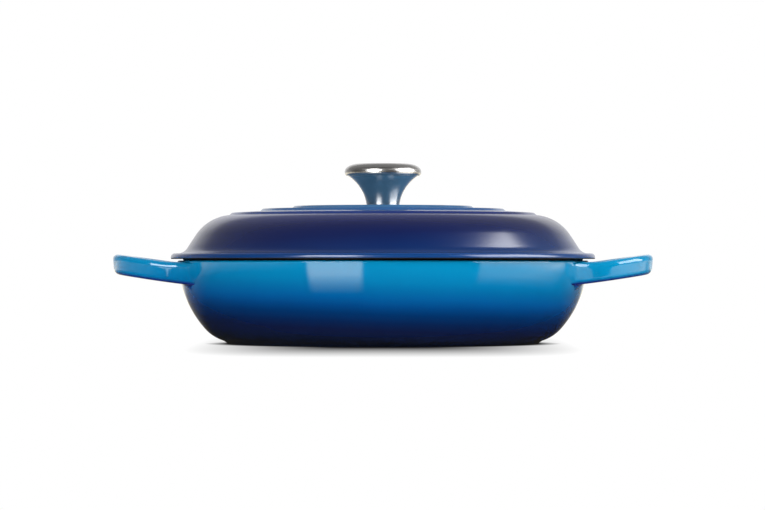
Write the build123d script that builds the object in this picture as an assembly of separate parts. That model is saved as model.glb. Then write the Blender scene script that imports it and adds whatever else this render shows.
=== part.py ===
from build123d import *

import os
from math import cos, radians, sin, sqrt, tan

# Enamelled cast-iron braiser: a shallow round pan with two loop handles, and a domed lid
# with a stainless-steel knob. Millimetres, +Z up, handles along X.
# The origin is the centre of the base, on the table.

# Pan: wall and base
pan_height = 52.5
rim_radius = 130.0
rim_width = 5.7
rim_lean = 3.0  # degrees from upright, just below the rim
rim_outer_rounding = 1.0
rim_inner_rounding = 0.6
knee_height = 9.6
knee_run = 14.85
wall_thickness = 4.4
base_inset = 32.4
base_thickness = 4.6
foot_height = 2.0
foot_flare = 3.1
foot_ring_width = 12.0
foot_ring_depth = 0.6

# Pan: loop handles
handle_reach = 39.85
handle_tip_half_width = 46.0
handle_root_half_width = 50.2
handle_corner_radius = 38.0
handle_bar_width = 14.0
handle_thickness = 12.6
handle_rise = 8.3  # degrees above level
handle_drop = 0.9
handle_flat_length = 4.1
handle_bend_radius = 60.0
handle_edge_rounding = 3.4
handle_root_inset = 3.0
handle_root_fillet = 22.0
finger_corner_radius = 24.0
finger_root_fillet = 6.0

# Lid: flange, seat and dome
lid_rise = 34.4
lid_wall = 3.0
flange_overhang = 3.9
flange_gap = 1.0
flange_thickness = 3.5
flange_top_rounding = 1.8
flange_foot_rounding = 0.6
seat_width = 1.9
spigot_clearance = 1.0
spigot_width = 2.6
spigot_depth = 4.0
cone_foot_width = 4.4
cone_slope = 57.4  # degrees above level
cone_height = 12.0
cone_foot_fillet = 4.5

# Lid: three raised ring steps, the knob's seat and the boss below it
shoulder_run = 20.8
outer_land_width = 19.5
middle_land_width = 20.0
ring_step = 1.4
ring_step_run = 1.6
ring_rounding = 0.7
outer_land_rise = 1.2
middle_land_rise = 0.35
knob_seat_drop = 0.2
knob_seat_radius = 14.0
boss_radius = 13.0
boss_thickness = 4.4
boss_drop = 0.8

# Knob: gasket, neck, cap and threaded insert
gasket_radius = 10.2
gasket_thickness = 0.8
neck_foot_radius = 10.4
neck_top_radius = 22.4
neck_height = 18.55
neck_lean = 8.0  # degrees from upright, at the foot
neck_floor = 1.5
steel_wall = 1.2
cap_radius = 24.2
cap_height = 8.0
cap_crown = 0.3
cap_edge_height = 2.2
cap_lip_run = 1.4
cap_shoulder_run = 11.2
cap_flange_width = 4.2
insert_radius = 6.0
insert_length = 14.0

# Fixing: screw and washer
screw_radius = 3.0
screw_length = 20.0
screw_head_radius = 5.8
screw_head_height = 3.4
screw_head_rounding = 1.2
screw_slot_width = 1.2
screw_slot_length = 7.0
screw_slot_depth = 1.6
washer_radius = 8.0
washer_thickness = 1.0
thread_clearance = 0.15
hole_clearance = 0.4

overrun = 5.0

# Shares that tell an upright wall from a level edge
level_share = 0.01
upright_share = 0.9

# Heights and radii that follow from the sizes above
base_radius = rim_radius - base_inset
rim_inner_radius = rim_radius - rim_width
flange_radius = rim_radius + flange_overhang
flange_bottom = pan_height + flange_gap
flange_top = flange_bottom + flange_thickness
handle_root_radius = rim_radius - handle_root_inset
handle_flare_width = handle_root_half_width + handle_root_fillet + handle_edge_rounding
handle_start = sqrt(handle_root_radius**2 - handle_flare_width**2)
spigot_radius = rim_inner_radius - spigot_clearance
cone_foot_radius = rim_radius - cone_foot_width
cone_end_radius = cone_foot_radius - cone_height / tan(radians(cone_slope))
outer_ring_radius = cone_end_radius - shoulder_run - ring_step_run
middle_ring_radius = outer_ring_radius - outer_land_width
inner_ring_radius = middle_ring_radius - middle_land_width
lid_top = pan_height + lid_rise
knob_seat = lid_top - knob_seat_drop
boss_bottom = knob_seat - boss_thickness
neck_bottom = knob_seat + gasket_thickness
neck_top = neck_bottom + neck_height
head_top = boss_bottom - washer_thickness
hole_radius = screw_radius + hole_clearance


def outline(*curves):
    """Closed section: its first coordinate is a radius, its second a height."""
    return make_face(Curve() + list(curves))


def turned(section):
    """Solid of a section turned about the object's axis."""
    return revolve(Plane.XZ * section, Axis.Z)


def near(shape, across, up):
    """The vertex of a section or plan that lies nearest to a point."""
    return shape.vertices().sort_by_distance((across, up))[0]


def ring(inner, outer, bottom, height):
    """Flat ring about the object's axis."""
    section = Pos(inner, bottom) * Rectangle(outer - inner, height, align=(Align.MIN, Align.MIN))
    return turned(section)


def pan_side():
    """Outer curve of the pan's wall, from the rim down to the knee."""
    lean = radians(rim_lean)
    knee = (base_radius + knee_run, knee_height)
    return TangentArc((rim_radius, pan_height), knee, tangent=(-sin(lean), -cos(lean)))


def pan_outside():
    """Outside of the pan without its handles, filled in, on a shallow foot ring."""
    side = pan_side()
    heel = TangentArc(side @ 1, (base_radius + foot_flare, foot_height), tangent=side % 1)
    recess_radius = base_radius - foot_ring_width
    rest = Polyline(
        heel @ 1,
        (base_radius, 0),
        (recess_radius, 0),
        (recess_radius - foot_ring_depth, foot_ring_depth),
        (0, foot_ring_depth),
        (0, pan_height),
        side @ 0,
    )
    section = outline(side, heel, rest)
    section = fillet(near(section, rim_radius, pan_height), rim_outer_rounding)
    return turned(section)


def pan_inside():
    """Hollow of the pan, open at the rim: it runs parallel to the outside at the knee."""
    down = pan_side() % 1
    outer_knee = pan_side() @ 1
    knee = outer_knee + Vector(down.Y, -down.X) * wall_thickness
    rim = Vector(rim_inner_radius, pan_height)
    rounding = Vector(rim_inner_rounding, 0)
    side = TangentArc(knee, rim - Vector(0, rim_inner_rounding), tangent=down * -1)
    lip = TangentArc(side @ 1, rim + rounding, tangent=side % 1)
    slope = radians(down.get_angle(Vector(-1, 0)))
    heel_run = (knee.Y - base_thickness) / tan(slope / 2)
    heel = TangentArc(knee, (knee.X - heel_run, base_thickness), tangent=down)
    above = Vector(0, pan_height + overrun)
    rest = Polyline(heel @ 1, (0, base_thickness), above, above + Vector((lip @ 1).X, 0), lip @ 1)
    return turned(outline(side, lip, heel, rest))


def loop_plan(tip, tip_half_width, root_half_width, corner_radius):
    """Plan of a loop that narrows towards its tip and has round corners there."""
    plan = Polygon(
        (handle_start, -root_half_width),
        (tip, -tip_half_width),
        (tip, tip_half_width),
        (handle_start, root_half_width),
        align=None,
    )
    return fillet(plan.vertices().group_by(Axis.X)[-1], corner_radius)


def handle_plan():
    """Plan of the handle on +X: a bar round the finger hole that flares into the wall."""
    root = Circle(handle_root_radius)
    tip = rim_radius + handle_reach
    bar = loop_plan(tip, handle_tip_half_width, handle_root_half_width, handle_corner_radius)
    bar = root + bar
    bar = fillet(bar.vertices().sort_by(Axis.X)[:2], handle_root_fillet)
    hole = loop_plan(
        tip - handle_bar_width,
        handle_tip_half_width - handle_bar_width,
        handle_root_half_width - handle_bar_width,
        finger_corner_radius,
    )
    hole = hole - root
    hole = fillet(hole.vertices().sort_by(Axis.X)[:2], finger_root_fillet)
    return bar - hole


def handle_slab():
    """Side view of the handle on +X, as a slab: level at the wall, then rising."""
    bend = rim_radius + handle_flat_length
    end = rim_radius + handle_reach + overrun
    top = pan_height - handle_drop
    grade = tan(radians(handle_rise))
    end_top = top + (end - bend) * grade
    end_bottom = end_top - handle_thickness
    side = Polygon(
        (handle_start, top),
        (bend, top),
        (end, end_top),
        (end, end_bottom),
        (handle_start, end_bottom - (end - handle_start) * grade),
        align=None,
    )
    side = fillet(near(side, bend, top), handle_bend_radius)
    return extrude(Plane.XZ * side, rim_radius, both=True)


def handle():
    """Loop handle on +X, rounded along its upper and lower edges."""
    bar = extrude(handle_plan(), pan_height + handle_reach) & handle_slab()
    upright = [face for face in bar.faces() if abs(face.normal_at().Z) < level_share]
    walls = ShapeList(upright).sort_by(Axis.X)[1:]  # without the cut across the root
    edges = ShapeList(
        edge
        for face in walls
        for edge in face.edges()
        if abs(edge.tangent_at(0.5).Z) < upright_share
    )
    return fillet(edges, handle_edge_rounding)


def pan():
    """Pan and its two loop handles, one casting."""
    grip = handle()
    return pan_outside() + grip + mirror(grip, Plane.YZ) - pan_inside()


def lid_crown():
    """Points of the lid's top, from the screw hole out to the foot of the outermost ring."""
    inner_foot = lid_top - ring_step
    middle_top = inner_foot - middle_land_rise
    middle_foot = middle_top - ring_step
    outer_top = middle_foot - outer_land_rise
    return [
        (hole_radius, knob_seat),
        (knob_seat_radius, knob_seat),
        (inner_ring_radius, lid_top),
        (inner_ring_radius + ring_step_run, inner_foot),
        (middle_ring_radius, middle_top),
        (middle_ring_radius + ring_step_run, middle_foot),
        (outer_ring_radius, outer_top),
        (outer_ring_radius + ring_step_run, outer_top - ring_step),
    ]


def lid():
    """Domed lid: it rests on the pan's rim and a spigot below keeps it centred."""
    slope = radians(cone_slope)
    up = Vector(-cos(slope), sin(slope))
    inward = Vector(-sin(slope), -cos(slope)) * lid_wall
    cone_foot = Vector(cone_foot_radius, flange_top)
    cone_end = Vector(cone_end_radius, flange_top + cone_height)
    crown = lid_crown()
    shoulder = TangentArc(cone_end, crown[-1], tangent=up)
    seat_radius = rim_inner_radius + seat_width
    spigot_inner = spigot_radius - spigot_width
    spigot_end = pan_height - spigot_depth
    inner_foot = cone_foot + inward
    inner_end = cone_end + inward
    inner_start = (spigot_inner, inner_foot.Y + (inner_foot.X - spigot_inner) * tan(slope))
    dome_edge = (outer_ring_radius, crown[-1][1] - lid_wall)
    inner_shoulder = TangentArc(inner_end, dome_edge, tangent=up)
    flange = Polyline(
        cone_end,
        cone_foot,
        (flange_radius, flange_top),
        (flange_radius, flange_bottom),
        (seat_radius, flange_bottom),
        (seat_radius, pan_height),
        (spigot_radius, pan_height),
        (spigot_radius, spigot_end),
        (spigot_inner, spigot_end),
        inner_start,
        inner_end,
    )
    inside = Polyline(
        dome_edge,
        (boss_radius, boss_bottom + boss_drop),
        (boss_radius, boss_bottom),
        (hole_radius, boss_bottom),
        crown[0],
    )
    section = outline(Polyline(*crown), shoulder, flange, inner_shoulder, inside)
    for across, up_to in crown[2:]:
        section = fillet(near(section, across, up_to), ring_rounding)
    section = fillet(near(section, cone_foot.X, cone_foot.Y), cone_foot_fillet)
    section = fillet(near(section, flange_radius, flange_top), flange_top_rounding)
    section = fillet(near(section, flange_radius, flange_bottom), flange_foot_rounding)
    return turned(section)


def knob_gasket():
    """Soft ring between the knob and the enamel."""
    return ring(hole_radius, gasket_radius, knob_seat, gasket_thickness)


def knob_neck():
    """Flared hollow neck with a floor that the screw passes through."""
    lean = radians(neck_lean)
    rise = (sin(lean), cos(lean))
    foot = Vector(neck_foot_radius, neck_bottom)
    top = Vector(neck_top_radius, neck_top)
    flare = TangentArc(foot, top, tangent=rise)
    wall = Vector(steel_wall, 0)
    hollow_foot = foot - wall + Vector(0, neck_floor)
    hollow = TangentArc(hollow_foot, top - wall, tangent=rise)
    floor = Polyline(
        hollow_foot,
        (hole_radius, neck_bottom + neck_floor),
        (hole_radius, neck_bottom),
        foot,
    )
    return turned(outline(flare, Line(top, top - wall), hollow, floor))


def cap_curves(inset):
    """Upper half of the cap's outline, from its crown to its widest line, set in by a wall."""
    widest = neck_top + cap_edge_height
    centre = cap_radius - cap_shoulder_run
    height = cap_height - cap_crown - cap_edge_height
    bend = EllipticalCenterArc(
        (centre, widest), cap_shoulder_run - inset, height - inset, start_angle=0, arc_size=90
    )
    crown = TangentArc((0, neck_top + cap_height - inset), bend @ 1, tangent=(1, 0))
    return crown, bend


def knob_cap():
    """Hollow cap: a low dome with a rolled lip and a flange that sits on the neck."""
    crown, bend = cap_curves(0)
    inner_crown, inner_bend = cap_curves(steel_wall)
    lip_centre = cap_radius - cap_lip_run
    lip = EllipticalCenterArc(
        (lip_centre, neck_top + cap_edge_height),
        cap_lip_run,
        cap_edge_height,
        start_angle=270,
        arc_size=90,
    )
    flange_inner = lip_centre - cap_flange_width
    under = Polyline(
        lip @ 0,
        (flange_inner, neck_top),
        (flange_inner, neck_top + steel_wall),
        (lip_centre, neck_top + steel_wall),
        inner_bend @ 0,
    )
    middle = Line(inner_crown @ 0, crown @ 0)
    return turned(outline(crown, bend, lip, under, inner_bend, inner_crown, middle))


def knob_insert():
    """Threaded sleeve on the floor of the neck."""
    bore = screw_radius + thread_clearance
    return ring(bore, insert_radius, neck_bottom + neck_floor, insert_length)


def knob_washer():
    """Plain washer between the screw's head and the boss of the lid."""
    return ring(hole_radius, washer_radius, head_top, washer_thickness)


def knob_screw():
    """Screw that comes up through the lid into the knob, with a cross-slotted head."""
    head_bottom = head_top - screw_head_height
    shank = ring(0, screw_radius, head_top, screw_length)
    head = Pos(0, 0, head_bottom) * Cylinder(
        screw_head_radius, screw_head_height, align=(Align.CENTER, Align.CENTER, Align.MIN)
    )
    head = fillet(head.edges().group_by(Axis.Z)[0], screw_head_rounding)
    slot = Pos(0, 0, head_bottom) * Box(
        screw_slot_length,
        screw_slot_width,
        screw_slot_depth,
        align=(Align.CENTER, Align.CENTER, Align.MIN),
    )
    return shank + head - slot - Rot(0, 0, 90) * slot


os.makedirs("parts", exist_ok=True)
pieces = {
    "pan": pan(),
    "lid": lid(),
    "knob_gasket": knob_gasket(),
    "knob_neck": knob_neck(),
    "knob_cap": knob_cap(),
    "knob_insert": knob_insert(),
    "knob_washer": knob_washer(),
    "knob_screw": knob_screw(),
}
for name, shape in pieces.items():
    export_step(shape, f"parts/{name}.step")
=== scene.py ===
"""Looks of an enamelled cast-iron braiser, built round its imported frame.

The classes of the braiser hold millimetres, which turn to metres when a mesh or a node is made.
The studio's classes hold metres.
"""

import logging
import math
from dataclasses import dataclass, replace
from enum import Enum, IntEnum

import bpy
import numpy as np
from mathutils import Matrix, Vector


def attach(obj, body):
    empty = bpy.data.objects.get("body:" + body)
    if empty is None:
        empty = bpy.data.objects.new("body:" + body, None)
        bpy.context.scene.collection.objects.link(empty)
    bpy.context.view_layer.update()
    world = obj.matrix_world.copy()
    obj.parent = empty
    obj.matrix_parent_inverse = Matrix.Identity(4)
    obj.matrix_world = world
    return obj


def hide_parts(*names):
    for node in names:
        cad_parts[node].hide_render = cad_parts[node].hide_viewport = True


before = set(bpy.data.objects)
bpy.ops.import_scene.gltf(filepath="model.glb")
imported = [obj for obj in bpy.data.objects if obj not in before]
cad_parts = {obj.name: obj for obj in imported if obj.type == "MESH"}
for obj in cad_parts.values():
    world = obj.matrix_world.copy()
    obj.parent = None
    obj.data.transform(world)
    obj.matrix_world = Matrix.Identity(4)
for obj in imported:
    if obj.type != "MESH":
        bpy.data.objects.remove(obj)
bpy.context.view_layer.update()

log = logging.getLogger("braiser")

MM = 0.001
ENAMEL_IOR = 1.5
AIM_HEIGHT = 0.05  # metres, the height at which the lamps point
SAME = 1e-6  # millimetres below which two places are one
CHORD = 7.0  # longest step along a straight run of a section
BLEND_TURN = 9  # degrees for each step of a rounded corner
LEAST_STEP = 0.02  # share of a section's last step that a rounded corner leaves at least
PAST_AXIS = 0.01  # millimetres to the point that stands for the section's other half
TINY = 1e-9  # keeps a division from zero


# Meshes


@dataclass
class Shell:
    """A closed surface before it becomes a mesh.

    Attributes:
        points: Vertex places, one row each.
        normals: Shading normal of each vertex.
        faces: Vertex numbers of each face.
        slots: Material slot of each face.
    """

    points: np.ndarray
    normals: np.ndarray
    faces: list[tuple[int, ...]]
    slots: list[int]

    def mirrored(self) -> "Shell":
        """Return the shell on the other side of the YZ plane."""
        flip = np.array([-1.0, 1.0, 1.0])
        return Shell(
            self.points * flip,
            self.normals * flip,
            [tuple(reversed(face)) for face in self.faces],
            list(self.slots),
        )


def make_piece(name: str, shells: list[Shell], finishes: list[bpy.types.Material]) -> bpy.types.Object:
    """Make one object of one or more shells.

    Args:
        name: Name of the piece.
        shells: Closed surfaces that the piece is made of.
        finishes: Materials in slot order.

    Returns:
        The object, linked to the scene.
    """
    points, normals, faces, slots = [], [], [], []
    for shell in shells:
        start = sum(len(p) for p in points)
        points.append(shell.points)
        normals.append(shell.normals)
        faces.extend(tuple(start + v for v in face) for face in shell.faces)
        slots.extend(shell.slots)
    mesh = bpy.data.meshes.new(name)
    mesh.from_pydata((np.concatenate(points) * MM).tolist(), [], faces)
    for finish in finishes:
        mesh.materials.append(finish)
    mesh.polygons.foreach_set("material_index", slots)
    mesh.shade_smooth()
    mesh.normals_split_custom_set_from_vertices(np.concatenate(normals).tolist())
    mesh.update()
    piece = bpy.data.objects.new(name, mesh)
    bpy.context.scene.collection.objects.link(piece)
    return piece


def tangent_arc(start: np.ndarray, tangent: np.ndarray, end: np.ndarray, steps: int) -> np.ndarray:
    """Sample the arc that leaves a point in a given direction and ends at another point.

    Args:
        start: First point of the arc.
        tangent: Direction of the arc at its first point.
        end: Last point of the arc.
        steps: Number of chords.

    Returns:
        The points, first and last included.
    """
    tangent = tangent / np.linalg.norm(tangent)
    chord = end - start
    side = np.array([-tangent[1], tangent[0]])
    reach = 2 * chord @ side
    if abs(reach) < TINY:
        return start + np.linspace(0, 1, steps + 1)[:, None] * chord
    radius = chord @ chord / reach
    centre = start + side * radius
    first = math.atan2(*(start - centre)[::-1])
    turn = math.atan2(*(end - centre)[::-1]) - first
    turn = turn % (2 * math.pi) if radius > 0 else -((-turn) % (2 * math.pi))
    angles = first + turn * np.linspace(0, 1, steps + 1)
    return centre + abs(radius) * np.stack([np.cos(angles), np.sin(angles)], 1)


class Profile:
    """Section of a turned piece: radius across, height up, drawn with the metal on its right."""

    def __init__(self, radius: float, height: float) -> None:
        """Start the section at a point."""
        self.runs: list[tuple[np.ndarray, int, float]] = []
        self.at = np.array([radius, height], float)

    def line(self, radius: float, height: float, slot: int, rounding: float = 0.0) -> None:
        """Add a straight run.

        Args:
            radius: Radius of its end.
            height: Height of its end.
            slot: Material slot of the run.
            rounding: Radius of the corner at its end.
        """
        end = np.array([radius, height], float)
        steps = max(1, math.ceil(np.linalg.norm(end - self.at) / CHORD))
        points = self.at + np.linspace(0, 1, steps + 1)[:, None] * (end - self.at)
        self.add(points, slot, rounding)

    def add(self, points: np.ndarray, slot: int, rounding: float = 0.0) -> None:
        """Add a run of points.

        Args:
            points: The points, of which the first is where the profile ends.
            slot: Material slot of the run.
            rounding: Radius of the corner at its end.
        """
        self.runs.append((points, slot, rounding))
        self.at = points[-1]

    def sample(self) -> tuple[np.ndarray, list[int]]:
        """Round the corners.

        Returns:
            The points of the section and the slot of each stretch between them.
        """
        runs = [(points, slot) for points, slot, _ in self.runs]
        blends: list[np.ndarray] = []
        for i, (_, _, rounding) in enumerate(self.runs):
            last = i + 1 == len(runs)
            closed = np.allclose(self.runs[0][0][0], self.at, atol=SAME)
            if rounding <= 0 or (last and not closed):
                blends.append(np.empty((0, 2)))
                continue
            after = 0 if last else i + 1
            a, b = runs[i][0], runs[after][0]
            into, out = a[-1] - a[-2], b[1] - b[0]
            into, out = into / np.linalg.norm(into), out / np.linalg.norm(out)
            turn = math.acos(float(np.clip(into @ out, -1, 1)))
            cut = rounding * math.tan(turn / 2)
            a, b = trim(a, cut), trim(b[::-1], cut)[::-1]
            runs[i], runs[after] = (a, runs[i][1]), (b, runs[after][1])
            steps = max(3, math.ceil(math.degrees(turn) / BLEND_TURN))
            blends.append(tangent_arc(a[-1], a[-1] - a[-2], b[0], steps)[1:-1])
        points, slots = [], []
        for (run, slot), blend in zip(runs, blends):
            points.extend([run, blend])
            slots.extend([slot] * (len(run) + len(blend)))
        flat = np.concatenate(points)
        keep = np.ones(len(flat), bool)
        keep[1:] = np.linalg.norm(np.diff(flat, axis=0), axis=1) > SAME
        return flat[keep], [s for s, k in zip(slots, keep) if k]


def smooth(value: np.ndarray) -> np.ndarray:
    """Return a soft step from 0 to 1 of values in that range."""
    value = np.clip(value, 0, 1)
    return value * value * (3 - 2 * value)


def trim(points: np.ndarray, length: float) -> np.ndarray:
    """Cut a length off the end of a run of points.

    Args:
        points: The run.
        length: Length to take away, measured along it.

    Returns:
        The shorter run.
    """
    points = points.copy()
    while len(points) > 2 and np.linalg.norm(points[-1] - points[-2]) <= length:
        length -= float(np.linalg.norm(points[-1] - points[-2]))
        points = points[:-1]
    last = points[-1] - points[-2]
    span = float(np.linalg.norm(last))
    points[-1] = points[-2] + last * max(LEAST_STEP, (span - length) / span)
    return points


def turned(profile: Profile, segments: int = 360) -> Shell:
    """Turn a section about the object's axis.

    Args:
        profile: The section. It closes on itself, or starts and ends on the axis.
        segments: Number of steps round the axis.

    Returns:
        The closed shell.
    """
    section, slots = profile.sample()
    on_axis = section[0, 0] < SAME
    if not on_axis and np.allclose(section[0], section[-1], atol=SAME):
        section, slots = section[:-1], slots[:-1]
    if on_axis:
        before = np.vstack([section[:1] * [-1, 1] - [PAST_AXIS, 0], section[:-1]])
        after = np.vstack([section[1:], section[-1:] - [PAST_AXIS, 0]])
    else:
        before, after = np.roll(section, 1, axis=0), np.roll(section, -1, axis=0)
    along = after - before
    across = np.stack([-along[:, 1], along[:, 0]], 1)
    across /= np.linalg.norm(across, axis=1)[:, None]
    angles = np.arange(segments) * 2 * math.pi / segments
    wheel = np.stack([np.cos(angles), np.sin(angles)], 1)
    inner = section[1:-1] if on_axis else section
    slope = across[1:-1] if on_axis else across
    rows = len(inner)
    points = np.concatenate(
        [inner[:, None, :1] * wheel[None], np.broadcast_to(inner[:, None, 1:], (rows, segments, 1))], 2
    ).reshape(-1, 3)
    normals = np.concatenate(
        [slope[:, None, :1] * wheel[None], np.broadcast_to(slope[:, None, 1:], (rows, segments, 1))], 2
    ).reshape(-1, 3)
    faces: list[tuple[int, ...]] = []
    face_slots: list[int] = []
    inner_slots = slots[1:] if on_axis else slots
    for j in range(rows if not on_axis else rows - 1):
        low, high = j * segments, (j + 1) % rows * segments
        for i in range(segments):
            k = (i + 1) % segments
            faces.append((low + i, high + i, high + k, low + k))
        face_slots.extend([inner_slots[j]] * segments)
    if on_axis:
        poles = np.array([[0, 0, section[0, 1]], [0, 0, section[-1, 1]]])
        up = np.array([[0, 0, 1.0], [0, 0, -1.0]])
        first, last = len(points), len(points) + 1
        points, normals = np.vstack([points, poles]), np.vstack([normals, up])
        end = (rows - 1) * segments
        for i in range(segments):
            k = (i + 1) % segments
            faces.extend([(first, i, k), (end + i, last, end + k)])
            face_slots.extend([slots[0], inner_slots[-1]])
    return Shell(points, normals, faces, face_slots)


# Finishes


def linear(colour: str) -> tuple[float, float, float, float]:
    """Turn an sRGB colour to the linear values that shaders read.

    Args:
        colour: The colour as six hex digits after a hash sign.

    Returns:
        Red, green, blue and an alpha of 1.
    """
    parts = [int(colour[i : i + 2], 16) / 255 for i in (1, 3, 5)]
    values = [c / 12.92 if c <= 0.04045 else ((c + 0.055) / 1.055) ** 2.4 for c in parts]
    return (*values, 1.0)


def add_node(
    tree: bpy.types.NodeTree, kind: str, inputs: dict | None = None, **settings: object
) -> bpy.types.Node:
    """Add a node with its settings and links.

    Args:
        tree: Tree that gets the node.
        kind: The node's type.
        inputs: Socket name or number, and the value or output socket that it takes.
        **settings: Attributes of the node.

    Returns:
        The node.
    """
    node = tree.nodes.new(kind)
    for name, value in settings.items():
        setattr(node, name, value)
    for name, value in (inputs or {}).items():
        if isinstance(value, bpy.types.NodeSocket):
            tree.links.new(value, node.inputs[name])
        else:
            node.inputs[name].default_value = value
    return node


def new_material(name: str) -> tuple[bpy.types.Material, bpy.types.NodeTree]:
    """Make an empty material.

    Args:
        name: Name of the material.

    Returns:
        The material and its node tree.
    """
    material = bpy.data.materials.new(name)
    material.use_nodes = True
    material.node_tree.nodes.clear()
    return material, material.node_tree


class Along(Enum):
    """Direction in which a finish changes."""

    HEIGHT = "height"
    RADIUS = "radius"

    def measure(self, tree: bpy.types.NodeTree, place: bpy.types.NodeSocket) -> bpy.types.NodeSocket:
        """Measure a place in this direction.

        Args:
            tree: Tree of the material.
            place: Socket of the place on the object.

        Returns:
            The socket of its height, or of its distance from the axis.
        """
        if self is Along.HEIGHT:
            return add_node(tree, "ShaderNodeSeparateXYZ", {0: place}).outputs["Z"]
        flat = add_node(tree, "ShaderNodeVectorMath", {0: place, 1: (1, 1, 0)}, operation="MULTIPLY")
        reach = add_node(tree, "ShaderNodeVectorMath", {0: flat.outputs[0]}, operation="LENGTH")
        return reach.outputs["Value"]


@dataclass(frozen=True)
class OmbreEnamel:
    """Vitreous enamel on cast iron, sprayed in bands that run into each other and fired.

    It gives a deep colour that shifts smoothly from band to band, under a hard gloss
    with the faint orange peel of a sprayed glaze.

    Attributes:
        name: Name of the material.
        bands: Places of the bands in millimetres, each with its colour.
        along: Direction in which they follow each other.
        roughness: Roughness of the gloss.
        peel_size: Width of the dimples of the orange peel.
        peel_height: Their depth.
        drift_size: Width of the clouds over which the bands wander.
        drift: How far they wander.
        painted_side_light: How far the bands shift for each millimetre towards the right handle: painted
            light and shade of the lamps on the right side.
        swell_size: Width of the swells of a casting dressed by hand.
        swell_height: Their height, 0 for none.
        underside: Colour of faces that look down: painted shade, darker than the bands.
        underside_turn: Upward part of the normal at which that colour starts and is full.
    """

    name: str
    bands: tuple[tuple[float, str], ...]
    along: Along
    roughness: float = 0.08
    peel_size: float = 3.2
    peel_height: float = 0.0045
    drift_size: float = 38.0
    drift: float = 0.9
    painted_side_light: float = 0.0
    swell_size: float = 15.0
    swell_height: float = 0.0
    underside: str | None = None
    underside_turn: tuple[float, float] = (-0.35, -0.8)

    def colour(self, tree: bpy.types.NodeTree, place: bpy.types.NodeSocket) -> bpy.types.NodeSocket:
        """Add the sprayed bands, and the painted shade of faces that look down.

        Args:
            tree: Tree of the material.
            place: Socket of the place on the object.

        Returns:
            The socket of the colour.
        """
        value = self.along.measure(tree, place)
        # The bands shift along X: painted light and shade of the lamps on the right side.
        aside = add_node(tree, "ShaderNodeSeparateXYZ", {0: place}).outputs["X"]
        lean = {0: aside, 1: self.painted_side_light, 2: value}
        leaned = add_node(tree, "ShaderNodeMath", lean, operation="MULTIPLY_ADD")
        cloud = add_node(
            tree, "ShaderNodeTexNoise", {"Vector": place, "Scale": 1 / (self.drift_size * MM), "Detail": 2.0}
        )
        offset = add_node(tree, "ShaderNodeMath", {0: cloud.outputs["Fac"], 1: -0.5}, operation="ADD")
        wander = {0: offset.outputs[0], 1: 2 * self.drift * MM, 2: leaned.outputs[0]}
        shifted = add_node(tree, "ShaderNodeMath", wander, operation="MULTIPLY_ADD")
        low, high = self.bands[0][0], self.bands[-1][0]
        share = add_node(
            tree,
            "ShaderNodeMapRange",
            {"Value": shifted.outputs[0], "From Min": low * MM, "From Max": high * MM},
        )
        ramp = add_node(tree, "ShaderNodeValToRGB", {0: share.outputs[0]})
        stops = ramp.color_ramp.elements
        while len(stops) < len(self.bands):
            stops.new(0.5)
        for stop, (band, colour) in zip(stops, self.bands):
            stop.position = (band - low) / (high - low)
            stop.color = linear(colour)
        if not self.underside:
            return ramp.outputs["Color"]
        # Faces that look down turn to the underside colour: painted shade below the loops.
        facing = add_node(tree, "ShaderNodeTexCoord").outputs["Normal"]
        up = add_node(tree, "ShaderNodeSeparateXYZ", {0: facing}).outputs["Z"]
        start, full = self.underside_turn
        shade_share = add_node(tree, "ShaderNodeMapRange", {"Value": up, "From Min": start, "From Max": full})
        mixed = add_node(
            tree,
            "ShaderNodeMix",
            {0: shade_share.outputs[0], 6: ramp.outputs["Color"], 7: linear(self.underside)},
            data_type="RGBA",
        )
        return mixed.outputs[2]

    def relief(self, tree: bpy.types.NodeTree, place: bpy.types.NodeSocket) -> bpy.types.NodeSocket:
        """Add the orange peel and, where there are any, the swells of the casting.

        Args:
            tree: Tree of the material.
            place: Socket of the place on the object.

        Returns:
            The socket of the normal.
        """
        waves = [(self.peel_size, self.peel_height, 1.5)]
        if self.swell_height > 0:
            waves.append((self.swell_size, self.swell_height, 1.0))
        below = {}
        for size, height, detail in waves:
            noise = add_node(
                tree,
                "ShaderNodeTexNoise",
                {"Vector": place, "Scale": 1 / (size * MM), "Detail": detail, "Roughness": 0.4},
            )
            bump = {"Height": noise.outputs["Fac"], "Strength": 1.0, "Distance": height * MM, **below}
            below = {"Normal": add_node(tree, "ShaderNodeBump", bump).outputs[0]}
        return below["Normal"]

    def make(self) -> bpy.types.Material:
        """Make the material.

        Returns:
            The material.
        """
        material, tree = new_material(self.name)
        place = add_node(tree, "ShaderNodeTexCoord").outputs["Object"]
        surface = add_node(
            tree,
            "ShaderNodeBsdfPrincipled",
            {
                "Base Color": self.colour(tree, place),
                "Normal": self.relief(tree, place),
                "Roughness": self.roughness,
                "IOR": ENAMEL_IOR,
            },
        )
        add_node(tree, "ShaderNodeOutputMaterial", {"Surface": surface.outputs[0]})
        return material


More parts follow.
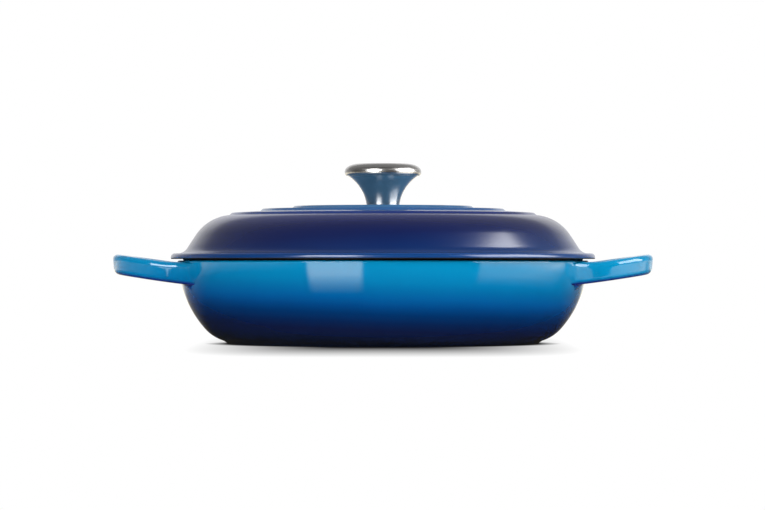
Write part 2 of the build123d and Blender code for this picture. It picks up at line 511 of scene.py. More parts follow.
@dataclass(frozen=True)
class SpeckledEnamel:
    """Plain vitreous enamel or rubber with fine flecks of another shade.

    Attributes:
        name: Name of the material.
        colour: Its colour.
        fleck: Colour of the flecks.
        roughness: Its roughness.
        gloss: Its specular level.
        fleck_size: Width of the flecks. Real ones are half as wide, too fine to show.
        fleck_range: Values of the noise between which a fleck fades in.
        fleck_share: How much of the flecks' colour they take.
        grain_height: Height of the grain.
    """

    name: str
    colour: str
    fleck: str
    roughness: float
    gloss: float
    fleck_size: float = 0.9
    fleck_range: tuple[float, float] = (0.56, 0.72)
    fleck_share: float = 0.48
    grain_height: float = 0.01

    def make(self) -> bpy.types.Material:
        """Make the material.

        Returns:
            The material.
        """
        material, tree = new_material(self.name)
        place = add_node(tree, "ShaderNodeTexCoord").outputs["Object"]
        specks = add_node(
            tree,
            "ShaderNodeTexNoise",
            {"Vector": place, "Scale": 1 / (self.fleck_size * MM), "Detail": 3.0, "Roughness": 0.65},
        )
        low, high = self.fleck_range
        dots = add_node(
            tree,
            "ShaderNodeMapRange",
            {"Value": specks.outputs["Fac"], "From Min": low, "From Max": high, "To Max": self.fleck_share},
        )
        mixed = add_node(
            tree,
            "ShaderNodeMix",
            {0: dots.outputs[0], 6: linear(self.colour), 7: linear(self.fleck)},
            data_type="RGBA",
        )
        bump = add_node(
            tree,
            "ShaderNodeBump",
            {"Height": specks.outputs["Fac"], "Strength": 1.0, "Distance": self.grain_height * MM},
        )
        surface = add_node(
            tree,
            "ShaderNodeBsdfPrincipled",
            {
                "Base Color": mixed.outputs[2],
                "Normal": bump.outputs[0],
                "Roughness": self.roughness,
                "IOR": ENAMEL_IOR,
                "Specular IOR Level": self.gloss,
            },
        )
        add_node(tree, "ShaderNodeOutputMaterial", {"Surface": surface.outputs[0]})
        return material


@dataclass(frozen=True)
class TurnedSteel:
    """Stainless steel, turned on a lathe and polished or left satin.

    The fine rings that the tool leaves round the axis draw each reflection out along the profile.

    Attributes:
        name: Name of the material.
        colour: Colour of the metal.
        roughness: Roughness between the tool marks.
        along: Direction in which the marks follow each other.
        mark_spacing: Distance of the marks. Real ones are about 0.1 mm apart, too fine to show.
        mark_height: Height of the marks.
        roughness_share: Least and most roughness over the marks, as shares of the roughness.
    """

    name: str
    colour: str
    roughness: float
    along: Along
    mark_spacing: float = 0.35
    mark_height: float = 0.0006
    roughness_share: tuple[float, float] = (0.85, 1.2)

    def make(self) -> bpy.types.Material:
        """Make the material.

        Returns:
            The material.
        """
        material, tree = new_material(self.name)
        place = add_node(tree, "ShaderNodeTexCoord").outputs["Object"]
        marks = add_node(
            tree,
            "ShaderNodeTexNoise",
            {
                "W": self.along.measure(tree, place),
                "Scale": 1 / (self.mark_spacing * MM),
                "Detail": 3.0,
                "Roughness": 0.6,
            },
            noise_dimensions="1D",
        )
        bump = add_node(
            tree,
            "ShaderNodeBump",
            {"Height": marks.outputs["Fac"], "Strength": 1.0, "Distance": self.mark_height * MM},
        )
        least, most = self.roughness_share
        rough = add_node(
            tree,
            "ShaderNodeMapRange",
            {
                "Value": marks.outputs["Fac"],
                "From Min": 0.3,
                "From Max": 0.7,
                "To Min": self.roughness * least,
                "To Max": self.roughness * most,
            },
        )
        surface = add_node(
            tree,
            "ShaderNodeBsdfPrincipled",
            {
                "Base Color": linear(self.colour),
                "Normal": bump.outputs[0],
                "Roughness": rough.outputs[0],
                "Metallic": 1.0,
            },
        )
        add_node(tree, "ShaderNodeOutputMaterial", {"Surface": surface.outputs[0]})
        return material


# Sub-assemblies


class IronSlot(IntEnum):
    """Material slots of an enamelled casting."""

    OUTSIDE = 0
    LINING = 1
    RIM = 2
    GRIP = 3


@dataclass(frozen=True)
class PanWall:
    """The pan's body of revolution, whose base stands at height 0.

    Attributes:
        height: Height of the rim.
        rim_radius: Outer radius of the rim.
        rim_width: Width of the rim.
        rim_lean: Degrees by which the wall leans in just below the rim.
        lip_rounding: Rounding of the rim's inner edge.
        rim_rounding: Rounding of the rim's outer edge.
        rim_glaze_width: Width of the outer part of the rim that has the gloss coat.
        knee_radius: Radius at which the wall turns in towards the base.
        knee_height: Height of that place.
        wall: Thickness of the wall.
        base_radius: Radius of the face that it stands on.
        floor_height: Height of the cooking surface.
        foot_height: Height at which the outside turns down to the foot.
        foot_flare: How much wider it is there.
        foot_width: Width of the foot ring.
        foot_depth: Depth of the recess inside it.
        heel_rounding: Rounding of the edge above the foot.
        foot_rounding: Rounding of the foot's outer edge.
        recess_rounding: Rounding of the recess's edges.
        curve_steps: Steps down the outside of the wall.
        heel_steps: Steps round the corner between the wall and the cooking surface.
        wall_steps: Steps up the inside of the wall.
        foot_steps: Steps from the knee down to the foot.
    """

    height: float = 52.5
    rim_radius: float = 130.0
    rim_width: float = 5.7
    rim_lean: float = 3.0
    lip_rounding: float = 0.7
    rim_rounding: float = 1.2
    rim_glaze_width: float = 1.3
    knee_radius: float = 112.45
    knee_height: float = 9.6
    wall: float = 4.4
    base_radius: float = 97.6
    floor_height: float = 4.6
    foot_height: float = 2.0
    foot_flare: float = 3.1
    foot_width: float = 12.0
    foot_depth: float = 0.6
    heel_rounding: float = 1.2
    foot_rounding: float = 0.8
    recess_rounding: float = 0.5
    curve_steps: int = 40
    heel_steps: int = 14
    wall_steps: int = 34
    foot_steps: int = 16

    def side(self) -> tuple[np.ndarray, np.ndarray]:
        """Draw the wall's outer curve.

        Returns:
            Its points from the rim down to the knee, and its direction at the knee.
        """
        lean = math.radians(self.rim_lean)
        rim = np.array([self.rim_radius, self.height])
        knee = np.array([self.knee_radius, self.knee_height])
        start = np.array([-math.sin(lean), -math.cos(lean)])
        points = tangent_arc(rim, start, knee, self.curve_steps)
        chord = (knee - rim) / np.linalg.norm(knee - rim)
        return points, 2 * (start @ chord) * chord - start

    def radius_at(self, height: np.ndarray) -> np.ndarray:
        """Return the wall's outer radius at each height, as if its rim had no rounding."""
        points = self.side()[0][::-1]
        return np.interp(height, points[:, 1], points[:, 0])

    def normal_at(self, points: np.ndarray) -> np.ndarray:
        """Find the wall's outward normal.

        Args:
            points: Points on the wall or beside it.

        Returns:
            The normal at each.
        """
        side = self.side()[0][::-1]
        along = np.gradient(side, axis=0)
        along /= np.linalg.norm(along, axis=1)[:, None]
        out = np.interp(points[..., 2], side[:, 1], along[:, 1])
        up = np.interp(points[..., 2], side[:, 1], -along[:, 0])
        radius = np.linalg.norm(points[..., :2], axis=-1)
        return np.concatenate([points[..., :2] / radius[..., None] * out[..., None], up[..., None]], -1)

    def shell(self) -> Shell:
        """Turn the wall, its lining, its rim and its foot.

        Returns:
            The closed shell.
        """
        side, down = self.side()
        back = side[-1] + np.array([down[1], -down[0]]) * self.wall
        lip = np.array([self.rim_radius - self.rim_width, self.height])
        slope = math.acos(float(np.clip(-down[0], -1, 1)))
        heel = back[0] - (back[1] - self.floor_height) / math.tan(slope / 2)
        floor_end = np.array([heel, self.floor_height])
        inner_heel = tangent_arc(back, down, floor_end, self.heel_steps)[::-1]
        inner_wall = tangent_arc(back, -down, lip, self.wall_steps)
        heel_end = np.array([self.base_radius + self.foot_flare, self.foot_height])
        outer_heel = tangent_arc(side[-1], down, heel_end, self.foot_steps)
        recess = self.base_radius - self.foot_width
        profile = Profile(0, self.floor_height)
        profile.line(*floor_end, IronSlot.LINING)
        profile.add(inner_heel, IronSlot.LINING)
        profile.add(inner_wall, IronSlot.LINING, self.lip_rounding)
        profile.line(self.rim_radius - self.rim_glaze_width, self.height, IronSlot.RIM)
        profile.line(self.rim_radius, self.height, IronSlot.OUTSIDE, self.rim_rounding)
        profile.add(side, IronSlot.OUTSIDE)
        profile.add(outer_heel, IronSlot.OUTSIDE, self.heel_rounding)
        profile.line(self.base_radius, 0, IronSlot.OUTSIDE, self.foot_rounding)
        profile.line(recess, 0, IronSlot.OUTSIDE, self.recess_rounding)
        profile.line(recess - self.foot_depth, self.foot_depth, IronSlot.OUTSIDE, self.recess_rounding)
        profile.line(0, self.foot_depth, IronSlot.OUTSIDE)
        return turned(profile)


@dataclass(frozen=True)
class LoopHandle:
    """One of the pan's loop handles, cast in one with the wall, on the +X side.

    Attributes:
        wall: The wall that it grows from.
        reach: How far it reaches out from the rim.
        tip_half_width: Half its width at the tip.
        root_half_width: Half its width at the wall.
        corner_radius: Radius of its corners.
        bar_width: Width of the bar.
        thickness: Thickness of the bar.
        rise: Degrees by which it rises.
        drop: How far its top lies below the rim.
        flat_length: How far it runs level before it rises.
        bend_radius: Radius of that bend.
        edge_rounding: Rounding of the bar's edges.
        draft: How far the flanks lean in below.
        root_start: Distance from the axis at which its flanks would start inside the wall.
        root_fillet: Radius with which the outer flank runs into the wall.
        root_runs: Past that fillet, how far round the wall and how deep in it the root goes on.
        root_depth: How deep the roots lie in the wall at most.
        finger_corner: Radius of the finger hole's corners.
        finger_fillet: Radius with which the hole's flank runs into the wall.
        under_fillet: Radius of the fillet below the roots.
        hold_run: Distance over which the roots let go of the wall's lean.
        merge_run: Distance from the wall at which the shading starts to change, and over which.
        merge_facing: How far a face has to turn with the wall to shade with it, and over which range.
        tip_steps: Steps across half the tip.
        corner_steps: Steps round a corner.
        flank_steps: Steps along a flank.
        fillet_steps: Steps round a fillet at the root.
        round_steps: Steps round an edge of the bar.
        face_steps: Steps across the bar's top.
        side_steps: Steps down the bar's side.
    """

    wall: PanWall
    reach: float = 39.85
    tip_half_width: float = 46.0
    root_half_width: float = 50.2
    corner_radius: float = 38.0
    bar_width: float = 14.0
    thickness: float = 12.6
    rise: float = 8.3
    drop: float = 0.9
    flat_length: float = 4.1
    bend_radius: float = 60.0
    edge_rounding: float = 3.4
    draft: float = 0.5
    root_start: float = 102.0
    root_fillet: float = 22.0
    root_runs: tuple[tuple[float, float], ...] = ((1.2, 0.05), (2.4, 0.15), (4.0, 0.5), (5.5, 1.2))
    root_depth: float = 2.4
    finger_corner: float = 24.0
    finger_fillet: float = 6.0
    under_fillet: float = 3.5
    hold_run: float = 20.0
    merge_run: tuple[float, float] = (0.1, 3.0)
    merge_facing: tuple[float, float] = (0.75, 0.2)
    tip_steps: int = 8
    corner_steps: int = 14
    flank_steps: int = 8
    fillet_steps: int = 14
    round_steps: int = 8
    face_steps: int = 8
    side_steps: int = 5

    def plan(
        self, tip: float, tip_half: float, root_half: float, corner: float, fillet: float, side: int
    ) -> tuple[np.ndarray, np.ndarray]:
        """Draw one edge of the loop in plan, from its middle to beyond the wall.

        Args:
            tip: How far out the edge reaches.
            tip_half: Half the edge's width at the tip.
            root_half: Half the edge's width at the wall.
            corner: Radius of its corner at the tip.
            fillet: Radius with which it runs into the wall.
            side: 1 for the outer edge and -1 for the finger hole's.

        Returns:
            Its points, and at each the direction into the bar.
        """
        rim = self.wall.rim_radius
        root, end = np.array([self.root_start, root_half]), np.array([tip, tip_half])
        way = (end - root) / np.linalg.norm(end - root)
        out = np.array([-way[1], way[0]])
        centre_x = tip - corner
        centre_y = root[1] - (corner - (root[0] - centre_x) * out[0]) / out[1]
        centre = np.array([centre_x, centre_y])
        points = [np.array([tip, centre_y * s]) for s in np.linspace(0, 1, self.tip_steps, endpoint=False)]
        inward = [np.array([-float(side), 0.0])] * self.tip_steps
        for angle in np.linspace(0, math.atan2(out[1], out[0]), self.corner_steps, endpoint=False):
            ray = np.array([math.cos(angle), math.sin(angle)])
            points.append(centre + corner * ray)
            inward.append(-side * ray)
        start = root + side * fillet * out
        along = way @ start
        middle = start + way * (-along + math.sqrt(along**2 - start @ start + (rim + fillet) ** 2))
        leave, arrive = centre + corner * out, middle - side * fillet * out
        for s in np.linspace(0, 1, self.flank_steps, endpoint=False):
            points.append(leave + (arrive - leave) * s)
            inward.append(-side * out)
        first = math.atan2(*(-side * out)[::-1])
        turn = math.atan2(*(-middle)[::-1]) - first
        turn = (turn + math.pi) % (2 * math.pi) - math.pi
        for angle in first + turn * np.linspace(0, 1, self.fillet_steps + 1):
            ray = np.array([math.cos(angle), math.sin(angle)])
            points.append(middle + fillet * ray)
            inward.append(ray)
        last = math.atan2(*points[-1][::-1])
        for run, depth in self.root_runs:
            angle = last + side * run / rim
            ray = np.array([math.cos(angle), math.sin(angle)])
            points.append(ray * (rim - depth))
            inward.append(-ray)
        return np.array(points), np.array(inward)

    def top(self, x: np.ndarray) -> np.ndarray:
        """Give the height of the bar's top.

        Args:
            x: Distances from the axis.

        Returns:
            The height at each.
        """
        bend = self.wall.rim_radius + self.flat_length
        rise = math.radians(self.rise)
        start = bend - self.bend_radius * math.tan(rise / 2)
        turn = np.clip((x - start) / self.bend_radius, 0, math.sin(rise))
        level = self.wall.height - self.drop + self.bend_radius * (1 - np.sqrt(1 - turn**2))
        past = np.maximum(0, x - start - self.bend_radius * math.sin(rise))
        return level + past * math.tan(rise)

    def bottom(self, x: np.ndarray) -> np.ndarray:
        """Give the height of the bar's underside.

        Args:
            x: Distances from the axis.

        Returns:
            The height at each.
        """
        grade = math.tan(math.radians(self.rise))
        bend = self.wall.rim_radius + self.flat_length
        return self.wall.height - self.drop - self.thickness + (x - bend) * grade

    def shell(self) -> Shell:
        """Loft the loop along its bar, and spread its roots on the wall.

        Returns:
            The closed shell.
        """
        tip = self.wall.rim_radius + self.reach
        outer, outer_in = self.plan(
            tip, self.tip_half_width, self.root_half_width, self.corner_radius, self.root_fillet, 1
        )
        inner, inner_in = self.plan(
            tip - self.bar_width,
            self.tip_half_width - self.bar_width,
            self.root_half_width - self.bar_width,
            self.finger_corner,
            self.finger_fillet,
            -1,
        )
        mirror = np.array([1.0, -1.0])
        outer, outer_in, inner, inner_in = (
            np.vstack([(a * mirror)[:0:-1], a]) for a in (outer, outer_in, inner, inner_in)
        )
        loops = [self.section(*row) for row in zip(outer, outer_in, inner, inner_in)]
        grid, merge = self.spread(np.array(loops))
        along = np.empty_like(grid)
        along[1:-1] = grid[2:] - grid[:-2]
        along[0], along[-1] = grid[1] - grid[0], grid[-1] - grid[-2]
        round_bar = np.roll(grid, -1, axis=1) - np.roll(grid, 1, axis=1)
        normals = np.cross(round_bar, along)
        normals /= np.maximum(np.linalg.norm(normals, axis=2), TINY)[..., None]
        least, run = self.merge_facing
        merge = merge * smooth((np.sum(normals * self.wall.normal_at(grid), 2) - least) / run)
        normals = normals * (1 - merge[..., None]) + self.wall.normal_at(grid) * merge[..., None]
        rows, columns = grid.shape[:2]
        faces = [
            (i * columns + j, i * columns + k, (i + 1) * columns + k, (i + 1) * columns + j)
            for i in range(rows - 1)
            for j, k in ((j, (j + 1) % columns) for j in range(columns))
        ]
        faces.append(tuple(reversed(range(columns))))
        faces.append(tuple(range((rows - 1) * columns, rows * columns)))
        return Shell(grid.reshape(-1, 3), normals.reshape(-1, 3), faces, [int(IronSlot.GRIP)] * len(faces))

    def section(
        self, outer: np.ndarray, outer_in: np.ndarray, inner: np.ndarray, inner_in: np.ndarray
    ) -> np.ndarray:
        """Draw the bar's section between a point of its outer edge and one of its inner edge.

        Args:
            outer: Point of the outer edge.
            outer_in: Direction from it into the bar.
            inner: Point of the inner edge.
            inner_in: Direction from it into the bar.

        Returns:
            Points round the section, each with two more values: its share of the way down the
            flank, and how far in it lies from the nearer flank.
        """
        r, draft = self.edge_rounding, self.draft
        quarter = np.linspace(0, math.pi / 2, self.round_steps + 1)
        across = np.linspace(0, 1, self.face_steps + 1)[1:-1]
        flank = np.linspace(0, 1, self.side_steps + 1)[1:-1]
        rows: list[tuple[np.ndarray, float, float, float]] = []
        o_in, i_in = outer + outer_in * r, inner + inner_in * r
        o_low, i_low = o_in + outer_in * draft, i_in + inner_in * draft
        width = float(np.linalg.norm(o_in - i_in))
        for t in across:
            rows.append((i_in + (o_in - i_in) * t, 0.0, 0.0, 0.0))
        for a in quarter:
            rows.append((outer + outer_in * r * (1 - math.sin(a)), 0.0, -r * (1 - math.cos(a)), 0.0))
        for t in flank:
            rows.append((outer + outer_in * draft * t, t, 0.0, 0.0))
        for a in quarter[::-1]:
            in_by = draft + r * (1 - math.sin(a))
            rows.append((outer + outer_in * in_by, 1.0, r * (1 - math.cos(a)), 0.0))
        for t in across:
            rows.append((o_low + (i_low - o_low) * t, 1.0, 0.0, width * min(t, 1 - t)))
        for a in quarter:
            in_by = draft + r * (1 - math.sin(a))
            rows.append((inner + inner_in * in_by, 1.0, r * (1 - math.cos(a)), 0.0))
        for t in flank[::-1]:
            rows.append((inner + inner_in * draft * t, t, 0.0, 0.0))
        for a in quarter[::-1]:
            rows.append((inner + inner_in * r * (1 - math.sin(a)), 0.0, -r * (1 - math.cos(a)), 0.0))
        plan = np.array([row[0] for row in rows])
        share, lift, depth = np.array([row[1:] for row in rows]).T
        top, bottom = self.top(plan[:, 0]), self.bottom(plan[:, 0])
        middle = (share > 0) & (share < 1)
        height = np.where(share < 0.5, top, bottom) + lift
        height = np.where(middle, top - r + (bottom - top + 2 * r) * share, height)
        return np.column_stack([plan, height, share, depth])

    def spread(self, grid: np.ndarray) -> tuple[np.ndarray, np.ndarray]:
        """Make the roots follow the wall, with a fillet below them.

        Args:
            grid: Sections along the bar, with the two last values of section().

        Returns:
            The points as x, y and z, and how much of the wall's own normal each takes.
        """
        rim = self.wall.rim_radius
        plan, height, share, depth = grid[..., :2], grid[..., 2], grid[..., 3], grid[..., 4]
        radius = np.linalg.norm(plan, axis=2)
        off = np.maximum(radius - rim, -self.root_depth)
        near = np.clip(off, 0, self.under_fillet)
        sink = self.under_fillet - np.sqrt(self.under_fillet**2 - (self.under_fillet - near) ** 2)
        height = height - sink * (share >= 1) * smooth(depth / self.under_fillet)
        hold = np.where(off <= 0, 1.0, np.clip(1 - off / self.hold_run, 0, 1) ** 2)
        moved = rim + off - (rim - self.wall.radius_at(height)) * hold
        plan = plan / radius[..., None] * moved[..., None]
        start, run = self.merge_run
        return np.concatenate([plan, height[..., None]], 2), 1 - smooth((off - start) / run)


@dataclass(frozen=True)
class PanCasting:
    """The pan with its two loop handles.

    Attributes:
        wall: Its body of revolution.
        outside: Finish of the outside.
        lining: Finish of the inside.
        rim: Finish of the rim.
        grip: Finish of the handles.
    """

    wall: PanWall
    outside: OmbreEnamel
    lining: SpeckledEnamel
    rim: SpeckledEnamel
    grip: OmbreEnamel

    def build(self) -> bpy.types.Object:
        """Build the casting and set it on the pan's body.

        Returns:
            The pan.
        """
        grip = LoopHandle(self.wall).shell()
        finishes = [self.outside.make(), self.lining.make(), self.rim.make(), self.grip.make()]
        piece = make_piece("pan_casting", [self.wall.shell(), grip, grip.mirrored()], finishes)
        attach(piece, "pan")
        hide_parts("pan")
        return piece


@dataclass(frozen=True)
class LidCasting:
    """The domed lid: three raised steps, a shoulder, a skirt and a flange with a spigot below.

    Attributes:
        outside: Finish of the outside.
        lining: Finish of the inside.
        rim: Finish of the parts that meet the pan.
        top: Height of the uppermost step.
        seat_drop: How much lower the knob's seat is.
        seat_radius: Radius of that seat.
        seat_blend: Rounding of its edge.
        hole_radius: Radius of the screw's hole.
        step_radii: Radii of the three steps.
        step_height: Height of each.
        step_run: How far each slopes out.
        step_rounding: Rounding of their edges.
        land_rises: How much the lands inside the second and third step rise.
        skirt_foot: Radius of the skirt's foot.
        skirt_slope: Slope of the skirt in degrees.
        skirt_height: Height of the skirt.
        skirt_turn: Degrees by which the skirt curves.
        skirt_fillet: Radius of the fillet at its foot.
        flange_radius: Radius of the flange.
        flange_top: Height of its top.
        flange_bottom: Height of its underside.
        flange_rounding: Rounding of its upper edge.
        flange_under_rounding: Rounding of its lower edge.
        flange_glaze_end: Height above its underside at which the gloss coat ends.
        seat_outer: Outer radius of the face that rests on the pan.
        seat_height: Height of that face.
        seat_rounding: Rounding of its edges.
        spigot_radius: Radius of the spigot.
        spigot_width: Width of the spigot.
        spigot_end: Height of its lower end.
        spigot_root_rounding: Rounding where it leaves the seat.
        spigot_rounding: Rounding of its lower edges.
        spigot_fillet: Radius of the fillet inside it.
        wall: Thickness of the casting.
        boss_radius: Radius of the boss below the knob.
        boss_bottom: Height of its face.
        boss_drop: How far it stands out of the lining.
        boss_rounding: Rounding of its edge.
        hole_rounding: Rounding of the hole's edges.
        shoulder_steps: Steps over the shoulder.
        lining_steps: Steps over the shoulder inside.
        skirt_steps: Steps up the skirt.
    """

    outside: OmbreEnamel
    lining: SpeckledEnamel
    rim: SpeckledEnamel
    top: float = 86.9
    seat_drop: float = 0.2
    seat_radius: float = 14.0
    seat_blend: float = 6.0
    hole_radius: float = 3.4
    step_radii: tuple[float, float, float] = (56.0, 76.0, 95.5)
    step_height: float = 1.4
    step_run: float = 1.6
    step_rounding: float = 0.7
    land_rises: tuple[float, float] = (0.35, 1.2)
    skirt_foot: float = 125.6
    skirt_slope: float = 57.4
    skirt_height: float = 12.0
    skirt_turn: float = 3.4
    skirt_fillet: float = 7.0
    flange_radius: float = 133.9
    flange_top: float = 57.0
    flange_bottom: float = 53.5
    flange_rounding: float = 2.4
    flange_under_rounding: float = 0.6
    flange_glaze_end: float = 0.8
    seat_outer: float = 126.2
    seat_height: float = 52.5
    seat_rounding: float = 0.4
    spigot_radius: float = 123.3
    spigot_width: float = 2.6
    spigot_end: float = 48.5
    spigot_root_rounding: float = 0.3
    spigot_rounding: float = 0.8
    spigot_fillet: float = 3.0
    wall: float = 3.0
    boss_radius: float = 13.0
    boss_bottom: float = 82.3
    boss_drop: float = 0.8
    boss_rounding: float = 0.5
    hole_rounding: float = 0.2
    shoulder_steps: int = 44
    lining_steps: int = 40
    skirt_steps: int = 10

    def shell(self) -> Shell:
        """Turn the lid's section.

        Returns:
            The closed shell.
        """
        slope, half = math.radians(self.skirt_slope), math.radians(self.skirt_turn / 2)
        up = np.array([-math.cos(slope), math.sin(slope)])
        foot = np.array([self.skirt_foot, self.flange_top])
        end = foot + up * (self.skirt_height / math.sin(slope))
        seat = self.top - self.seat_drop
        profile = Profile(self.hole_radius, seat)
        profile.line(self.seat_radius, seat, IronSlot.OUTSIDE, self.seat_blend)
        height, lowered = self.top, (*self.land_rises, 0.0)
        for radius, rise in zip(self.step_radii, lowered):
            profile.line(radius, height, IronSlot.OUTSIDE, self.step_rounding)
            height -= self.step_height
            profile.line(radius + self.step_run, height, IronSlot.OUTSIDE, self.step_rounding)
            height -= rise
        up_foot = np.array([-math.cos(slope + half), math.sin(slope + half)])
        up_end = np.array([-math.cos(slope - half), math.sin(slope - half)])
        profile.add(tangent_arc(end, up_end, profile.at, self.shoulder_steps)[::-1], IronSlot.OUTSIDE)
        skirt = tangent_arc(foot, up_foot, end, self.skirt_steps)[::-1]
        profile.add(skirt, IronSlot.OUTSIDE, self.skirt_fillet)
        self.draw_flange(profile)
        inward = np.array([-math.sin(slope), -math.cos(slope)]) * self.wall
        under, inner_end = foot + inward, end + inward
        spigot_inner = self.spigot_radius - self.spigot_width
        start = under[1] + (under[0] - spigot_inner) * math.tan(slope)
        profile.line(spigot_inner, start, IronSlot.LINING, self.spigot_fillet)
        profile.line(*inner_end, IronSlot.LINING)
        dome = np.array([self.step_radii[-1], height - self.wall])
        profile.add(tangent_arc(inner_end, up, dome, self.lining_steps), IronSlot.LINING)
        boss_edge = self.boss_bottom + self.boss_drop
        profile.line(self.boss_radius, boss_edge, IronSlot.LINING, self.boss_rounding)
        profile.line(self.boss_radius, self.boss_bottom, IronSlot.LINING, self.boss_rounding)
        profile.line(self.hole_radius, self.boss_bottom, IronSlot.LINING, self.hole_rounding)
        profile.line(self.hole_radius, seat, IronSlot.OUTSIDE, self.hole_rounding)
        return turned(profile)

    def draw_flange(self, profile: Profile) -> None:
        """Draw the flange, the seat and the spigot.

        Args:
            profile: The lid's section, which has come to the skirt's foot.
        """
        edge = self.flange_bottom + self.flange_glaze_end
        profile.line(self.flange_radius, self.flange_top, IronSlot.OUTSIDE, self.flange_rounding)
        profile.line(self.flange_radius, edge, IronSlot.OUTSIDE)
        for radius, height, rounding in (
            (self.flange_radius, self.flange_bottom, self.flange_under_rounding),
            (self.seat_outer, self.flange_bottom, self.seat_rounding),
            (self.seat_outer, self.seat_height, self.seat_rounding),
            (self.spigot_radius, self.seat_height, self.spigot_root_rounding),
            (self.spigot_radius, self.spigot_end, self.spigot_rounding),
            (self.spigot_radius - self.spigot_width, self.spigot_end, self.spigot_rounding),
        ):
            profile.line(radius, height, IronSlot.RIM, rounding)

    def build(self) -> bpy.types.Object:
        """Build the lid and set it on its body.

        Returns:
            The lid.
        """
        finishes = [self.outside.make(), self.lining.make(), self.rim.make()]
        piece = make_piece("lid_casting", [self.shell()], finishes)
        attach(piece, "lid")
        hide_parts("lid")
        return piece


@dataclass(frozen=True)
class Knob:
    """The steel knob: a flared hollow neck and a low cap with a rolled lip.

    Attributes:
        neck_steel: Finish of the neck.
        cap_steel: Finish of the cap.
        bottom: Height of the neck's foot.
        hole_radius: Radius of the screw's hole.
        foot_radius: Radius of the neck's foot.
        top_radius: Radius of the neck's top.
        neck_height: Height of the neck.
        lean: Degrees by which the neck leans out at its foot.
        bell_radius: Radius at which the stem's arc gives way to a wider one.
        bell_rise: Height of that place above the foot.
        floor: Thickness of the neck's floor.
        wall: Thickness of the steel.
        foot_rounding: Rounding of the neck's foot.
        hollow_rounding: Rounding at the bottom of the hollow.
        edge_rounding: Rounding of cut edges.
        cap_radius: Radius of the cap.
        cap_height: Height of the cap.
        cap_crown: How much the middle of the cap rises.
        cap_edge: Height of the cap's widest line above its foot.
        lip_run: How far the lip turns in below that line.
        shoulder_run: How far the shoulder reaches in above it.
        shoulder_power: Fullness of the shoulder, 2 for an ellipse.
        flange_width: Width of the flange that sits on the neck.
        flange_rounding: Rounding of its inner edge.
        stem_steps: Steps up the stem.
        flare_steps: Steps over the wider arc above it.
        hollow_steps: Steps up the hollow.
        shoulder_steps: Points over the shoulder.
        lip_steps: Points round the lip.
        crown_steps: Points across the crown.
        segments: Steps round the axis.
    """

    neck_steel: TurnedSteel
    cap_steel: TurnedSteel
    bottom: float = 87.5
    hole_radius: float = 3.4
    foot_radius: float = 10.4
    top_radius: float = 22.4
    neck_height: float = 18.55
    lean: float = 7.5
    bell_radius: float = 18.9
    bell_rise: float = 15.95
    floor: float = 1.5
    wall: float = 1.2
    foot_rounding: float = 0.4
    hollow_rounding: float = 0.4
    edge_rounding: float = 0.1
    cap_radius: float = 24.2
    cap_height: float = 8.0
    cap_crown: float = 0.3
    cap_edge: float = 2.2
    lip_run: float = 1.4
    shoulder_run: float = 11.2
    shoulder_power: float = 2.3
    flange_width: float = 4.2
    flange_rounding: float = 0.2
    stem_steps: int = 36
    flare_steps: int = 14
    hollow_steps: int = 30
    shoulder_steps: int = 40
    lip_steps: int = 16
    crown_steps: int = 12
    segments: int = 256

    def neck(self) -> bpy.types.Object:
        """Build the neck.

        Returns:
            The neck on the lid's body.
        """
        lean = math.radians(self.lean)
        rise = np.array([math.sin(lean), math.cos(lean)])
        top = self.bottom + self.neck_height
        foot, rim = np.array([self.foot_radius, self.bottom]), np.array([self.top_radius, top])
        inset = np.array([self.wall, 0.0])
        hollow_foot = foot - inset + np.array([0.0, self.floor])
        bell = np.array([self.bell_radius, self.bottom + self.bell_rise])
        stem = tangent_arc(foot, rise, bell, self.stem_steps)
        flare = tangent_arc(bell, stem[-1] - stem[-2], rim, self.flare_steps)
        profile = Profile(self.hole_radius, self.bottom + self.floor)
        profile.line(*hollow_foot, 0, self.hollow_rounding)
        profile.add(tangent_arc(hollow_foot, rise, rim - inset, self.hollow_steps), 0, self.edge_rounding)
        profile.line(*rim, 0, self.edge_rounding / 2)
        profile.add(np.vstack([stem, flare[1:]])[::-1], 0, self.foot_rounding)
        profile.line(self.hole_radius, self.bottom, 0, self.edge_rounding)
        profile.line(self.hole_radius, self.bottom + self.floor, 0, self.edge_rounding)
        return self.set_on_lid("knob_neck", profile, self.neck_steel)

    def cap(self) -> bpy.types.Object:
        """Build the cap.

        Returns:
            The cap on the lid's body.
        """
        base = self.bottom + self.neck_height
        widest = base + self.cap_edge
        centre = self.cap_radius - self.shoulder_run
        height = self.cap_height - self.cap_crown - self.cap_edge
        turn, power = np.linspace(math.pi / 2, 0, self.shoulder_steps), 2 / self.shoulder_power
        across, up = np.cos(turn) ** power, np.sin(turn) ** power
        bend = np.column_stack([centre + self.shoulder_run * across, widest + height * up])
        thin = np.array([self.shoulder_run, height]) - self.wall
        back = np.column_stack([centre + thin[0] * across, widest + thin[1] * up])[::-1]
        lip_centre = self.cap_radius - self.lip_run
        fall = np.linspace(0, -math.pi / 2, self.lip_steps)
        lip = np.column_stack(
            [lip_centre + self.lip_run * np.cos(fall), widest + self.cap_edge * np.sin(fall)]
        )
        share = np.linspace(0, 1, self.crown_steps)
        crown = np.column_stack([centre * share, base + self.cap_height - self.cap_crown * share**2])
        inner = lip_centre - self.flange_width
        profile = Profile(*crown[0])
        profile.add(crown, 0)
        profile.add(bend, 0)
        profile.add(lip, 0)
        profile.line(inner, base, 0, self.flange_rounding)
        profile.line(inner, base + self.wall, 0, self.flange_rounding)
        profile.line(lip_centre, base + self.wall, 0)
        profile.line(*back[0], 0)
        profile.add(back, 0)
        profile.add(crown[::-1] - [0, self.wall], 0)
        return self.set_on_lid("knob_cap", profile, self.cap_steel)

